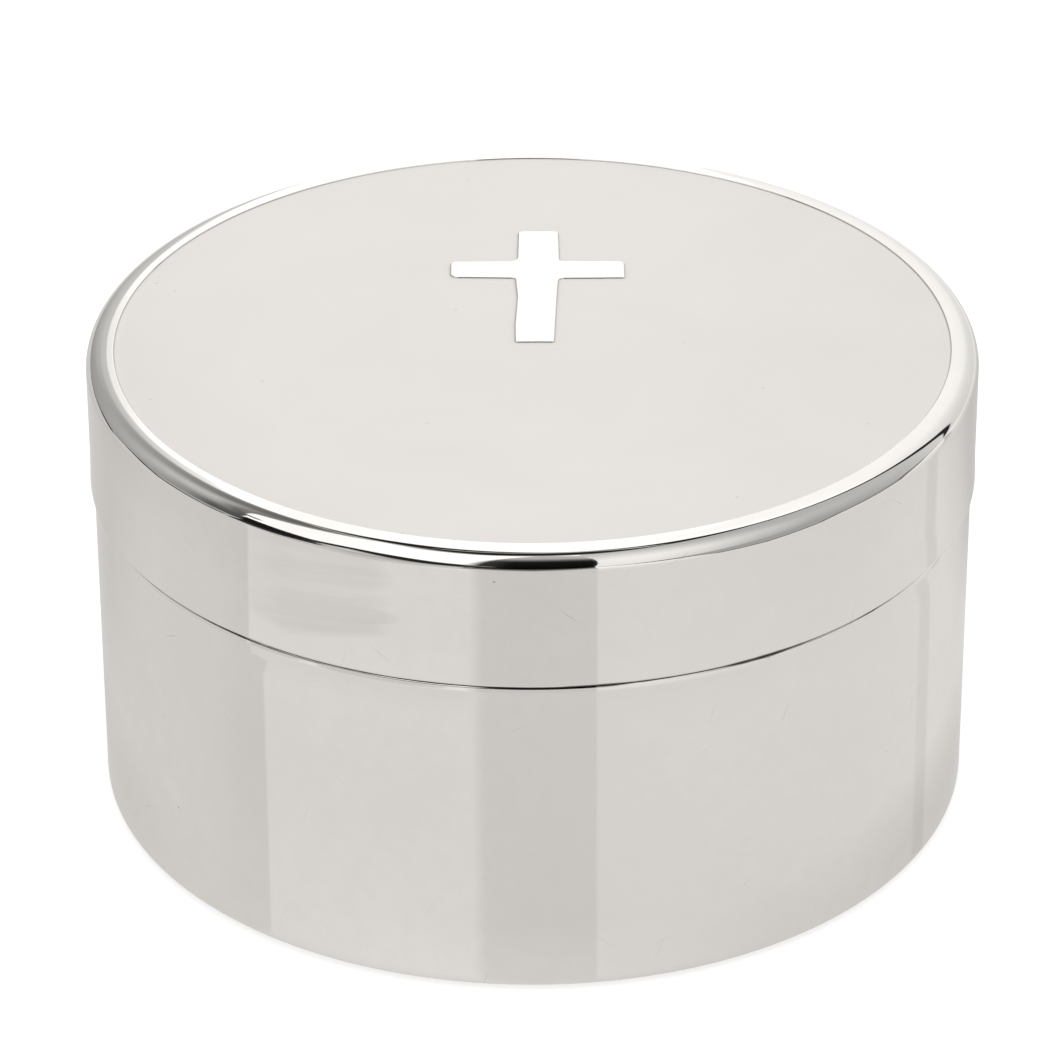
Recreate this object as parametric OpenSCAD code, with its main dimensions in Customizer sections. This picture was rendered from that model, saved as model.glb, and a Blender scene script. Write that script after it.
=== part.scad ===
/* [Box] */

// Outside diameter of the lid
lid_d = 70; // [50:0.5:110]
// Height over all, from the underside of the felt to the top of the rim
total_h = 38.1; // [26:0.1:80]
// Height of the lid, from its lower edge to the top of the rim
lid_h = 11.1; // [9:0.1:16]
// Thickness of the lid's skirt
lid_wall = 0.7; // [0.4:0.05:1.2]
// Play between the lid's skirt and the neck that it slides over, on each side
lid_play = 0.4; // [0.1:0.05:0.6]
// Thickness of the cup's drawn metal, in its wall and its floor
cup_wall = 0.8; // [0.5:0.05:1.2]

/* [Rounded edges] */

// Radius of the bead where the top of the lid turns into the skirt
bead_r = 1.3; // [0.8:0.05:2]
// Radius of the lid's lower outside edge
lid_edge_r = 0.25; // [0.1:0.05:0.35]
// Radius of the cup's lower outside edge
foot_edge_r = 0.8; // [0.4:0.1:2]
// Radius of the corner inside the cup
inside_edge_r = 0.5; // [0.2:0.1:0.7]

/* [Enamelled top] */

// Width of the flat ring of metal between the enamel and the bead
rim_flat = 0.96; // [0.5:0.02:4]
// Depth of the recess that holds the enamel
recess_depth = 0.8; // [0.5:0.05:1.5]
// Metal left under the enamel
lid_top = 0.7; // [0.4:0.05:1.2]
// How far the enamel lies below the rim and the cross
enamel_sink = 0.12; // [0.05:0.01:0.3]

/* [Cross] */

// Height of the cross, from foot to head
cross_h = 19.6; // [15:0.1:26]
// Span of its arms
cross_span = 13.8; // [9:0.1:20]
// Width of the upright
upright_w = 3.2; // [2:0.1:5]
// Width of the arms
arm_w = 2.75; // [1.8:0.05:4]
// Distance from the head down to the middle of the arms
arm_drop = 7; // [4:0.1:9]
// Place of the foot in front of the lid's centre
foot_front = 0.8; // [-4:0.1:6]
// Sideways place of the cross from the lid's centre
cross_shift = 0.3; // [-3:0.1:3]
// Radius of its eight outer corners
cross_corner_r = 0.4; // [0.1:0.05:0.8]
// Radius of its four inner corners
cross_fillet_r = 0.35; // [0.1:0.05:1]

/* [Neck collar] */

// Thickness of the collar
collar_t = 0.7; // [0.4:0.05:1.2]
// How deep the collar is soldered into the cup
collar_depth = 5; // [2:0.1:10]
// Space between the top of the collar and the lining of the lid
collar_top_gap = 1.9; // [0.5:0.1:3]

/* [Felt] */

// Thickness of the felt disc
felt_t = 1; // [0.6:0.1:2]
// How far the felt stands below the metal
felt_proud = 0.2; // [0.1:0.05:0.5]
// Play between the felt and the edge of its recess
felt_play = 0.4; // [0.1:0.1:1]
// Width of the ring of metal round the felt's recess
foot_ring = 4.7; // [3:0.1:10]

/* [Wall lining] */

// Thickness of the card strip behind the velvet
wall_card_t = 0.5; // [0.3:0.05:1]
// Thickness of the velvet on the wall
wall_velvet_t = 0.8; // [0.4:0.05:1.5]
// How far the lining stops below the top of the collar
wall_lining_drop = 1; // [0.5:0.1:4]

/* [Floor pad] */

// Thickness of the card under the floor pad
floor_card_t = 1; // [0.5:0.1:2]
// Thickness of the wadding at the edge of the pad
floor_wadding_edge = 1; // [0.5:0.1:3]
// How far the floor pad swells in the middle
floor_crown = 1.5; // [0.5:0.1:3]
// Thickness of the velvet over the pads
pad_velvet_t = 0.6; // [0.3:0.05:1.2]
// Play between the floor pad and the wall lining
pad_play = 0.2; // [0.1:0.05:0.5]

/* [Lid pad] */

// Thickness of the card in the lid
lid_card_t = 0.8; // [0.5:0.1:1.5]
// Thickness of the wadding at the edge of the lid pad
lid_wadding_edge = 0.8; // [0.4:0.1:1.5]
// How far the lid pad swells in the middle
lid_crown = 0.8; // [0.3:0.1:1.5]
// Play between the lid pad and the lid's skirt
lid_pad_play = 0.2; // [0.1:0.05:0.5]

/* [Hidden] */

$fn = 128;

// A pad's crown: how flat its middle is, and the steps that its curves are drawn in
crown_power = 3;
crown_steps = 16;
shoulder_steps = 4;

// Radii, from the outside in
lid_r = lid_d / 2;
lid_inner_r = lid_r - lid_wall;
collar_r = lid_inner_r - lid_play;
cup_inner_r = collar_r;
cup_r = cup_inner_r + cup_wall;
collar_inner_r = collar_r - collar_t;
wall_card_inner_r = collar_inner_r - wall_card_t;
lining_r = wall_card_inner_r - wall_velvet_t;
floor_pad_r = lining_r - pad_play;
lid_pad_r = lid_inner_r - lid_pad_play;
enamel_r = lid_r - bead_r - rim_flat;
felt_recess_r = cup_r - foot_ring;
felt_r = felt_recess_r - felt_play;
plateau_r = felt_recess_r + cup_wall;

// Heights, from the felt up
foot_z = felt_proud;
moat_z = foot_z + cup_wall;
plateau_z = felt_t + cup_wall;
seam_z = total_h - lid_h;
recess_z = total_h - recess_depth;
lid_ceiling_z = recess_z - lid_top;
lid_pad_h = lid_card_t + lid_wadding_edge + pad_velvet_t;
collar_top_z = lid_ceiling_z - lid_pad_h - collar_top_gap;
collar_foot_z = seam_z - collar_depth;
lining_top_z = collar_top_z - wall_lining_drop;

// Middles of the cross
arm_y = cross_h - foot_front - arm_drop;
upright_y = cross_h / 2 - foot_front;

metal = [0.86, 0.86, 0.84];
enamel_white = [0.9, 0.885, 0.865];
velvet_ivory = [0.9, 0.87, 0.8];
card_grey = [0.72, 0.7, 0.65];
wadding_white = [0.95, 0.95, 0.93];
felt_grey = [0.62, 0.62, 0.6];

// A profile from the axis outwards: radii from r1 to r2, heights from z1 to z2
module band(r1, r2, z1, z2) {
    translate([r1, z1])
        square([r2 - r1, z2 - z1]);
}

// What is cut from the corner of a square at the origin to round it with radius r
module corner_waste(r) {
    difference() {
        square(r);
        translate([r, r])
            circle(r);
    }
}

// The waste of an outer corner at radius r0 and height z0: a bottom edge, or a top edge if top is true
module outer_corner_waste(r0, z0, r, top = false) {
    translate([r0, z0])
        mirror([1, 0])
            mirror([0, top ? 1 : 0])
                corner_waste(r);
}

// Points over the crown of a pad of radius a, from its edge at height z0 to its middle h above that
function crown_points(a, h, z0) = [
    for (i = [0:crown_steps])
        let (u = 1 - i / crown_steps)
            [a * u, z0 + h * (1 - pow(u, crown_power))]
];

// Points round the shoulder of a cover t thick, from its side up to the edge of its crown
function shoulder_points(a, z0, t) = [
    for (i = [0:shoulder_steps - 1])
        let (angle = 90 * i / shoulder_steps)
            [a + t * cos(angle), z0 + t * sin(angle)]
];

// Profile of a pad's filling: radius a, straight sides up to e, and a crown of h
module filling_profile(a, e, h) {
    polygon(concat([[0, 0], [a, 0]], crown_points(a, h, e)));
}

// Profile of the velvet over a pad of card and filling, t thick all over
module cover_profile(a, card, e, h, t) {
    edge_z = card + e;
    difference() {
        polygon(concat(
            [[0, 0], [a + t, 0]],
            shoulder_points(a, edge_z, t),
            crown_points(a, h, edge_z + t)
        ));
        band(0, a, 0, card);
        translate([0, card])
            filling_profile(a, e, h);
    }
}

// A rectangle round its own centre, with corners of radius r
module rounded_rectangle(w, h, r) {
    square([w - 2 * r, h], center = true);
    square([w, h - 2 * r], center = true);
    for (x = [-1, 1], y = [-1, 1])
        translate([x * (w / 2 - r), y * (h / 2 - r)])
            circle(r);
}

// Outline of the cross on the top of the lid
module cross_outline() {
    translate([cross_shift, 0]) {
        translate([0, upright_y])
            rounded_rectangle(upright_w, cross_h, cross_corner_r);
        translate([0, arm_y])
            rounded_rectangle(cross_span, arm_w, cross_corner_r);
        for (x = [0, 1], y = [0, 1])
            translate([0, arm_y])
                mirror([x, 0])
                    mirror([0, y])
                        translate([upright_w / 2, arm_w / 2])
                            corner_waste(cross_fillet_r);
    }
}

module base_cup() {
    color(metal)
        rotate_extrude()
            difference() {
                band(0, cup_r, foot_z, seam_z);
                outer_corner_waste(cup_r, foot_z, foot_edge_r);
                // the inside, down to the moat round the raised floor
                difference() {
                    band(plateau_r, cup_inner_r, moat_z, seam_z);
                    outer_corner_waste(cup_inner_r, moat_z, inside_edge_r);
                }
                band(0, plateau_r, plateau_z, seam_z);
                // the recess for the felt
                band(0, felt_recess_r, foot_z, felt_t);
            }
}

module neck_collar() {
    round_r = collar_t / 2;
    color(metal)
        rotate_extrude() {
            band(collar_inner_r, collar_r, collar_foot_z, collar_top_z - round_r);
            translate([collar_r - round_r, collar_top_z - round_r])
                circle(round_r);
        }
}

module base_felt() {
    color(felt_grey)
        cylinder(r = felt_r, h = felt_t);
}

module floor_card() {
    color(card_grey)
        translate([0, 0, plateau_z])
            cylinder(r = floor_pad_r - pad_velvet_t, h = floor_card_t);
}

module floor_wadding() {
    color(wadding_white)
        translate([0, 0, plateau_z + floor_card_t])
            rotate_extrude()
                filling_profile(floor_pad_r - pad_velvet_t, floor_wadding_edge, floor_crown);
}

module floor_velvet() {
    color(velvet_ivory)
        translate([0, 0, plateau_z])
            rotate_extrude()
                cover_profile(floor_pad_r - pad_velvet_t, floor_card_t, floor_wadding_edge,
                    floor_crown, pad_velvet_t);
}

module wall_card() {
    color(card_grey)
        rotate_extrude()
            band(wall_card_inner_r, collar_inner_r, moat_z, lining_top_z - wall_velvet_t);
}

module wall_velvet() {
    fold_r = (wall_card_t + wall_velvet_t) / 2;
    color(velvet_ivory)
        rotate_extrude()
            difference() {
                union() {
                    band(lining_r, collar_inner_r, moat_z, lining_top_z - fold_r);
                    translate([collar_inner_r - fold_r, lining_top_z - fold_r])
                        circle(fold_r);
                }
                band(wall_card_inner_r, collar_inner_r, moat_z, lining_top_z - wall_velvet_t);
            }
}

module lid_shell() {
    color(metal)
        rotate_extrude()
            difference() {
                band(0, lid_r, seam_z, total_h);
                outer_corner_waste(lid_r, total_h, bead_r, top = true);
                outer_corner_waste(lid_r, seam_z, lid_edge_r);
                band(0, enamel_r, recess_z, total_h);
                band(0, lid_inner_r, seam_z, lid_ceiling_z);
            }
}

module cross() {
    color(metal)
        translate([0, 0, recess_z])
            linear_extrude(recess_depth)
                cross_outline();
}

module enamel() {
    color(enamel_white)
        translate([0, 0, recess_z])
            linear_extrude(recess_depth - enamel_sink)
                difference() {
                    circle(enamel_r);
                    cross_outline();
                }
}

module lid_card() {
    color(card_grey)
        translate([0, 0, lid_ceiling_z - lid_card_t])
            cylinder(r = lid_pad_r - pad_velvet_t, h = lid_card_t);
}

module lid_wadding() {
    color(wadding_white)
        translate([0, 0, lid_ceiling_z - lid_card_t])
            mirror([0, 0, 1])
                rotate_extrude()
                    filling_profile(lid_pad_r - pad_velvet_t, lid_wadding_edge, lid_crown);
}

module lid_velvet() {
    color(velvet_ivory)
        translate([0, 0, lid_ceiling_z])
            mirror([0, 0, 1])
                rotate_extrude()
                    cover_profile(lid_pad_r - pad_velvet_t, lid_card_t, lid_wadding_edge,
                        lid_crown, pad_velvet_t);
}

base_cup();
neck_collar();
base_felt();
floor_card();
floor_wadding();
floor_velvet();
wall_card();
wall_velvet();
lid_shell();
cross();
enamel();
lid_card();
lid_wadding();
lid_velvet();
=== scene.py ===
from math import atan2, ceil, cos, degrees, exp, pi, radians, sin, tan

import bmesh
import bpy
import numpy as np
from mathutils import Matrix, Vector, noise
from mathutils.geometry import delaunay_2d_cdt


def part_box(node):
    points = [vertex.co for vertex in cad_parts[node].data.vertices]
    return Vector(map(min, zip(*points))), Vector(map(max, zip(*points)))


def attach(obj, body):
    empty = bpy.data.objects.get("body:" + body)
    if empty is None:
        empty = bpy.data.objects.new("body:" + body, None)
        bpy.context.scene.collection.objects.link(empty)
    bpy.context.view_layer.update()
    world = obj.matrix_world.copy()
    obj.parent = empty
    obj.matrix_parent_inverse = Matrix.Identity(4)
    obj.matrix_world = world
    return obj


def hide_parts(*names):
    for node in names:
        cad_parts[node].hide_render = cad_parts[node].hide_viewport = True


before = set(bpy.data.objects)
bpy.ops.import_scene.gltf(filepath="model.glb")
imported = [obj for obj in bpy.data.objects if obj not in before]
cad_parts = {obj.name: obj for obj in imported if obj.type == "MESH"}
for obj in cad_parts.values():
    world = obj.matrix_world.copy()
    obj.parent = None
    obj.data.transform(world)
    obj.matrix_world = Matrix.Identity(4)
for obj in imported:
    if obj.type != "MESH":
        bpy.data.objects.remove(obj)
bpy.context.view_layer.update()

mm = 0.001  # every size below is in millimetres and is multiplied by this where it is used


view = {
    "place": (0.0, -368.6, 228.0),  # mm, 433 mm from the box, as far as the perspective of its rim says
    "pitchDown": 29.28,  # degrees
    "yawRight": -0.109,
    "roll": -0.219,
    "lens": 181.7,  # mm
    "sensor": 36.0,
    "nearClip": 0.01,  # metres
}


def setUpCamera():
    data = bpy.data.cameras.new("photoCamera")
    data.lens = view["lens"]
    data.sensor_width = view["sensor"]
    data.clip_start = view["nearClip"]
    camera = bpy.data.objects.new("photoCamera", data)
    turn = Matrix.Rotation(-radians(view["yawRight"]), 4, "Z")
    turn = turn @ Matrix.Rotation(radians(90 - view["pitchDown"]), 4, "X")
    turn = turn @ Matrix.Rotation(radians(view["roll"]), 4, "Z")
    camera.matrix_world = Matrix.Translation(Vector(view["place"]) * mm) @ turn
    bpy.context.scene.collection.objects.link(camera)
    bpy.context.scene.camera = camera
    bpy.context.scene.view_settings.view_transform = "Standard"  # whites stay white, as on the photo


def linear(hexColour):
    channels = [int(hexColour[i : i + 2], 16) / 255 for i in (1, 3, 5)]
    return tuple(c / 12.92 if c <= 0.04045 else ((c + 0.055) / 1.055) ** 2.4 for c in channels) + (1.0,)


def perMetre(size):
    return 1 / (size * mm)  # a texture's Scale for features this many mm apart


def setNode(tree, node, settings):
    for key, value in settings.items():
        if isinstance(value, bpy.types.Node):  # stands for its first output in use
            value = next(socket for socket in value.outputs if socket.enabled)
        if isinstance(key, str) and key not in node.inputs:
            setattr(node, key, value)
        elif isinstance(value, bpy.types.NodeSocket):
            tree.links.new(value, node.inputs[key])
        else:
            node.inputs[key].default_value = value
    return node


def addNode(tree, kind, settings):
    return setNode(tree, tree.nodes.new(kind), settings)


def newObject(name, mesh):
    piece = bpy.data.objects.new(name, mesh)
    bpy.context.scene.collection.objects.link(piece)
    return piece


def meshFrom(name, vertices, faces, material=None):
    mesh = bpy.data.meshes.new(name)
    mesh.from_pydata([tuple(v) for v in vertices], [], faces)
    if material:
        mesh.materials.append(material)
    return mesh


studio = {
    "fill": "#EDECEB",  # the room's light on enamel and cloth
    "fillStrength": 0.95,
    "domeGlow": 1.36,  # white tent all round, which the polish shows
    "domeRadius": 3.0,  # metres, as all sizes of the studio
    "domeSegments": (96, 48),
    "paper": "#BEBEBE",
    "paperGlow": 0.62,  # lit to white, as on the photo
    "paperRoughness": 0.9,
    "paperReach": 2.9,
    "paperLevel": -0.00005,
    "keyPower": 1.6,  # watts
    "keyPlace": (0.0, -0.4, 0.95),
    "keySize": 0.6,
    "tableGlow": 0.47,
    "tableColour": "#7E7C7A",
    "tableRoughness": 0.04,
    "tableStep": 3,  # degrees between its spokes
}

# What hangs in the tent, as directions from the box: azimuth from the camera side, positive to the
# right, and elevation, both in degrees. A station is the low end, the high end, and how brightly the
# card glows from its low end to its high end.
tentCards = {
    "greyTentWall": [
        (-72, -3, -73, 8, 0.1, 0.1, 0.1, 0.1, 0.1, 0.1),
        (-75, -3, -76.5, 27, 0.08, 0.1, 0.1, 0.1, 0.1, 0.1),
        (-83, -3, -85, 41, 0.1, 0.14, 0.22, 0.25, 0.15, 0.2),
        (-91, -3, -94, 50, 0.32, 0.34, 0.45, 0.5, 0.2, 0.3),
        (-101, -3, -107, 62, 0.34, 0.52, 0.64, 0.62, 0.2, 0.4),
        (-113, -3, -120, 67, 0.4, 0.58, 0.64, 0.5, 0.18, 0.5),
        (-126, -3, -134, 70, 0.42, 0.5, 0.5, 0.27, 0.13, 0.7),
        (-138, -3, -150, 71, 0.36, 0.46, 0.38, 0.2, 0.12, 0.9),
        (-148, -3, -162, 66, 0.36, 0.46, 0.4, 0.23, 0.14, 1.0),
        (-156, -3, -165, 56, 0.4, 0.54, 0.47, 0.35, 0.3, 1.0),
        (-163, -3, -167, 44, 0.5, 0.56, 0.58, 0.48, 0.45, 1.1),
        (-168, -3, -170.5, 37, 0.62, 0.62, 0.62, 0.62, 0.65, 1.1),
        (-172.4, -3, -173.2, 33, 0.68, 0.68, 0.68, 0.68, 0.7, 1.1),
        (-173.8, -3, -174.2, 31, 1.2, 1.2, 1.2, 1.2, 1.2, 1.2)],
    "tentTab": [(-74, 29.35, -74, 33.5, 0.1, 0.1, 0.1), (-80, 29.35, -80, 34.8, 0.1, 0.1, 0.1)],
    "gapUnderSoftbox": [
        (-73.5, -3, -74.5, 21, 0.01, 0.01, 0.02), (-66, -3, -66, 20, 0.01, 0.01, 0.02),
        (-58, -3, -57, 18, 0.01, 0.01, 0.03), (-51, -3, -50, 17, 0.03, 0.05, 0.1)],
    "curledSheet": [
        (-53, -3, -51, 14, 0.5, 0.6, 0.7), (-45, -3, -44, 21, 0.72, 0.74, 0.74),
        (-37, -3, -37, 18, 0.64, 0.66, 0.66), (-28, -3, -28, 10, 0.35, 0.35, 0.4),
        (-22, -3, -22, 8, 0.2, 0.2, 0.2), (-16, -3, -15, 4, 0.1, 0.1, 0.1)],
    "cameraGap": [
        (-17.5, -3, -5, 78, 1.3, 1.3, 1.3, 1.3, 1.3), (-15.5, -3, -3, 81, 0.6, 0.7, 0.8, 1.0, 1.1),
        (-13.5, -3, 0, 83, 0.03, 0.05, 0.1, 0.5, 0.7), (-6, -3, 6, 84, 0.0, 0.01, 0.06, 0.52, 0.62),
        (2, -3, 14, 85, 0.0, 0.01, 0.06, 0.52, 0.6), (9, -3, 24, 84, 0.0, 0.01, 0.07, 0.54, 0.6),
        (14.3, -3, 29, 78, 0.0, 0.01, 0.08, 0.55, 0.62)],
    "greyRightWall": [
        (14.5, -3, 27, 76, 1.0, 1.1, 0.6), (28, -3, 50, 82, 0.95, 1.1, 0.6),
        (42, -3, 90, 84, 0.7, 1.0, 0.55), (54, -3, 125, 82, 0.5, 0.8, 0.55),
        (66, -3, 148, 74, 0.4, 0.62, 0.5), (78, -3, 151, 65, 0.42, 0.6, 0.52),
        (90, -3, 148, 56, 0.5, 0.64, 0.58), (100, -3, 139, 48, 0.6, 0.74, 0.68),
        (108, -3, 132, 38, 0.7, 0.8, 0.76), (113, -3, 127, 25, 0.76, 0.85, 0.85),
        (117.5, -3, 122, 9, 0.8, 0.85, 0.85)],
    "backRightWall": [
        (118, -3, 128, 29, 0.78, 0.82, 0.95), (135, -3, 142, 46, 0.78, 0.85, 1.1),
        (155, -3, 158, 46, 0.84, 0.9, 1.2), (175, -3, 178, 40, 1.0, 1.1, 1.3)],
}
# Seams and folded edges of the tent, as a line of directions with half its width in degrees.
tentSeams = {
    "overheadSeam": {"glow": 0.02, "rim": 0.8, "line": [
        (-165, 53, 3), (-162, 61, 6), (-162, 69, 8.5), (-168, 78, 12), (180, 84, 15), (160, 81, 14),
        (152, 74, 10), (151, 66, 6.5), (152, 60, 4.5), (147, 54, 3.2), (137, 48, 3), (130.5, 41, 3.3),
        (126.5, 35, 3.3), (124, 29, 3.2), (122.5, 13, 2.8), (120, 6, 1.8), (118, 1, 0.6)]},
    "curledSheetEdge": {"glow": 0.02, "rim": 0.4, "line": [
        (-53, 13, 4.5), (-44, 20, 6), (-37, 17, 7.5), (-28, 10, 9), (-22, 7, 10), (-15, 2, 11)]},
}
# What lies on the table or ends it, as azimuth and metres from the box, on to the far side of the
# tent. Its edge towards the box is a fold, drawn with a glow of its own.
tableCards = {
    "frontEnd": {"edge": 0.45, "face": 0.2, "far": 0.02, "stations": [
        (-16, 0.22), (0, 0.16), (14.3, 0.22)]},
    "leftEnd": {"edge": 0.12, "face": 0.03, "far": 0.02, "stations": [
        (-73, 0.18), (-66, 0.17), (-58, 0.19), (-50, 0.4)]},
    "frontCloth": {"edge": 0.72, "face": 0.68, "far": 0.45, "stations": [
        (-50, 0.3), (-42, 0.15), (-28, 0.14), (-16.5, 0.2)]},
    "leftCloth": {"edge": 0.05, "face": 0.46, "far": 0.42, "stations": [
        (-146, 2.4), (-141, 1.0), (-135, 0.6), (-126, 0.32), (-118, 0.215), (-114, 0.5), (-104, 0.28),
        (-96, 0.19), (-74, 0.194)]},
    "rightCloth": {"edge": 0.14, "face": 0.45, "far": 0.42, "stations": [
        (15, 0.8), (26, 0.42), (36, 0.26), (40, 0.13), (51, 0.106), (66, 0.13), (74, 0.19), (93, 0.177),
        (104, 0.39), (117, 1.2)]},
}
# How bright the table is round the box: azimuth, then a share of its glow at the box, 44 mm from the
# box's middle, 58 mm, and from 90 mm on. It is shaded under the box's sides and lit in front of it.
tableShine = [
    (-180, 0.87, 0.97, 0.96, 0.93), (-115, 0.87, 1.01, 0.96, 0.89), (-95, 1.0, 1.16, 1.15, 1.05),
    (-70, 1.12, 1.2, 1.18, 1.12), (-45, 1.24, 1.23, 1.18, 1.17), (-20, 1.33, 1.25, 1.17, 1.17),
    (0, 1.32, 1.2, 1.2, 1.15), (25, 1.24, 1.23, 1.23, 1.22), (50, 1.17, 1.3, 1.3, 1.26),
    (72, 1.01, 1.31, 1.32, 1.25), (90, 0.94, 1.27, 1.3, 1.26), (107, 0.92, 1.13, 1.25, 1.21),
    (118, 0.92, 1.07, 1.04, 1.01), (128, 0.87, 0.91, 0.75, 0.73), (140, 0.82, 0.81, 0.71, 0.69),
    (180, 0.87, 0.97, 0.96, 0.93)]
# metres from the box's middle: which of the shares
tableRings = {0.0: 0, 0.037: 0, 0.044: 1, 0.058: 2, 0.08: 2, 0.09: 3, 2.9: 3}
hanging = {
    "steps": 6,  # rows of a card from one station to the next
    "across": 14,
    # where the glows of a card sit between its low and its high end, by how many it has
    "stops": {3: (0, 0.5, 1), 5: (0, 0.5, 0.6, 0.74, 1), 6: (0, 0.45, 0.6, 0.72, 0.88, 1)},
    "cardDistance": 2.0,  # metres
    "seamDistance": 1.95,
    "seamDark": 0.6,  # share of a seam's half width that stays dark
    "tableLift": 0.0004,
    "beadReach": 0.035,
    "beadHeight": 0.037,
    "farAngle": 0.75,  # degrees below level at which the bead sees a cloth's far end
    "foldAngle": 3.6,  # how wide it sees a fold
    "foldLimit": 0.6,
    "faceStart": (1.3, 0.7),  # in folds, and at most
    "faceStops": (0.78, 0.86, 0.93),
}


def directionOf(azimuth, elevation):
    a, e = radians(azimuth), radians(elevation)
    return Vector((sin(a) * cos(e), -cos(a) * cos(e), sin(e)))


def blended(stations, steps):
    rows = []
    for now, after in zip(stations, stations[1:]):
        rows += [[a.lerp(b, i / steps) for a, b in zip(now, after)] for i in range(steps)]
    return rows + [list(stations[-1])]


def glowMaterial(name, strength=None):
    material = bpy.data.materials.new(name)
    material.use_nodes = True
    tree = material.node_tree
    tree.nodes.clear()
    if strength is None:  # painted along the card
        strength = addNode(tree, "ShaderNodeAttribute", {"attribute_name": "glow"}).outputs["Fac"]
    glow = addNode(tree, "ShaderNodeEmission", {"Color": linear("#FFFEFB"), "Strength": strength})
    addNode(tree, "ShaderNodeOutputMaterial", {"Surface": glow})
    return material


def showOnly(piece, camera=False, diffuse=False, glossy=False, shadow=False):
    piece.visible_camera = camera
    piece.visible_diffuse = diffuse
    piece.visible_glossy = glossy
    piece.visible_transmission = False
    piece.visible_volume_scatter = False
    piece.visible_shadow = shadow


def gridCard(name, rows, glows, material):
    width = len(rows[0])
    vertices = [p for row in rows for p in row]
    faces = [(j * width + i, j * width + i + 1, (j + 1) * width + i + 1, (j + 1) * width + i)
             for j in range(len(rows) - 1) for i in range(width - 1)]
    mesh = meshFrom(name, vertices, faces, material)
    shades = mesh.attributes.new("glow", "FLOAT", "POINT")
    shades.data.foreach_set("value", [g for row in glows for g in row])
    showOnly(newObject(name, mesh), glossy=True)


def hangCards():
    painted = glowMaterial("tentCloth")
    steps, reach, height = hanging["steps"], hanging["beadReach"], hanging["beadHeight"]
    shares = [i / hanging["across"] for i in range(hanging["across"] + 1)]
    for name, stations in tentCards.items():
        ends = [(directionOf(s[0], s[1]), directionOf(s[2], s[3]), Vector(s[4:])) for s in stations]
        rows, glows = [], []
        for low, high, glow in blended(ends, steps):
            rows.append([low.lerp(high, t).normalized() * hanging["cardDistance"] for t in shares])
            glows.append(np.interp(shares, hanging["stops"][len(glow)], glow))
        gridCard(name, rows, glows, painted)
    for name, seam in tentSeams.items():
        path = blended([(directionOf(s[0], s[1]), Vector((s[2], 0.0))) for s in seam["line"]], steps)
        dark = hanging["seamDark"]
        profile = [(-1, seam["rim"]), (-dark, seam["glow"]), (0, seam["glow"]), (dark, seam["glow"]),
                   (1, seam["rim"])]
        rows = []
        for i, (here, width) in enumerate(path):
            along = path[min(i + 1, len(path) - 1)][0] - path[max(i - 1, 0)][0]
            side = here.cross(along).normalized() * tan(radians(width[0]))
            rows.append([(here + side * k).normalized() * hanging["seamDistance"] for k, glow in profile])
        gridCard(name, rows, [[glow for k, glow in profile] for row in rows], painted)
    for name, card in tableCards.items():
        ends = [(directionOf(azimuth, 0), Vector((near, 0.0))) for azimuth, near in card["stations"]]
        rows, glows = [], []
        for direction, near in blended(ends, steps):
            # spaced evenly in the angle at which the lid's bead sees them
            first = degrees(atan2(height, near[0] - reach))
            last = min(hanging["farAngle"], first / 2)
            fold = min(hanging["foldAngle"] / (first - last), hanging["foldLimit"])
            face = min(hanging["faceStart"][0] * fold, hanging["faceStart"][1])
            places = [0, fold, face, *hanging["faceStops"], 1]
            out = [reach + height / tan(radians(first + (last - first) * t)) for t in places]
            rows.append([direction.normalized() * r + Vector((0, 0, hanging["tableLift"])) for r in out])
            glows.append([card["edge"]] * 2 + list(np.interp(places[2:], (face, 1),
                                                             (card["face"], card["far"]))))
        gridCard(name, rows, glows, painted)


def layTable():
    gloss = bpy.data.materials.new("whiteAcrylicTable")  # shiny sheet, seen only in the box's polish
    gloss.use_nodes = True
    tree = gloss.node_tree
    shine = addNode(tree, "ShaderNodeAttribute", {"attribute_name": "glow"})
    strength = addNode(tree, "ShaderNodeMath", {"operation": "MULTIPLY", 0: shine.outputs["Fac"],
                                                1: studio["tableGlow"]})
    setNode(tree, tree.nodes["Principled BSDF"], {
        "Base Color": linear(studio["tableColour"]), "Roughness": studio["tableRoughness"],
        "Emission Color": linear("#FFFDFA"), "Emission Strength": strength})
    step = studio["tableStep"]
    azimuths = range(-180, 181 + step, step)  # laps over itself, so no gap shows
    stations, *shares = zip(*tableShine)
    shares = [np.interp(azimuths, stations, share) for share in shares]
    rows = [[directionOf(azimuth, 0) * r for r in tableRings] for azimuth in azimuths]
    glows = [[shares[column][i] for column in tableRings.values()] for i in range(len(azimuths))]
    gridCard("shinyTable", rows, glows, gloss)


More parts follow.
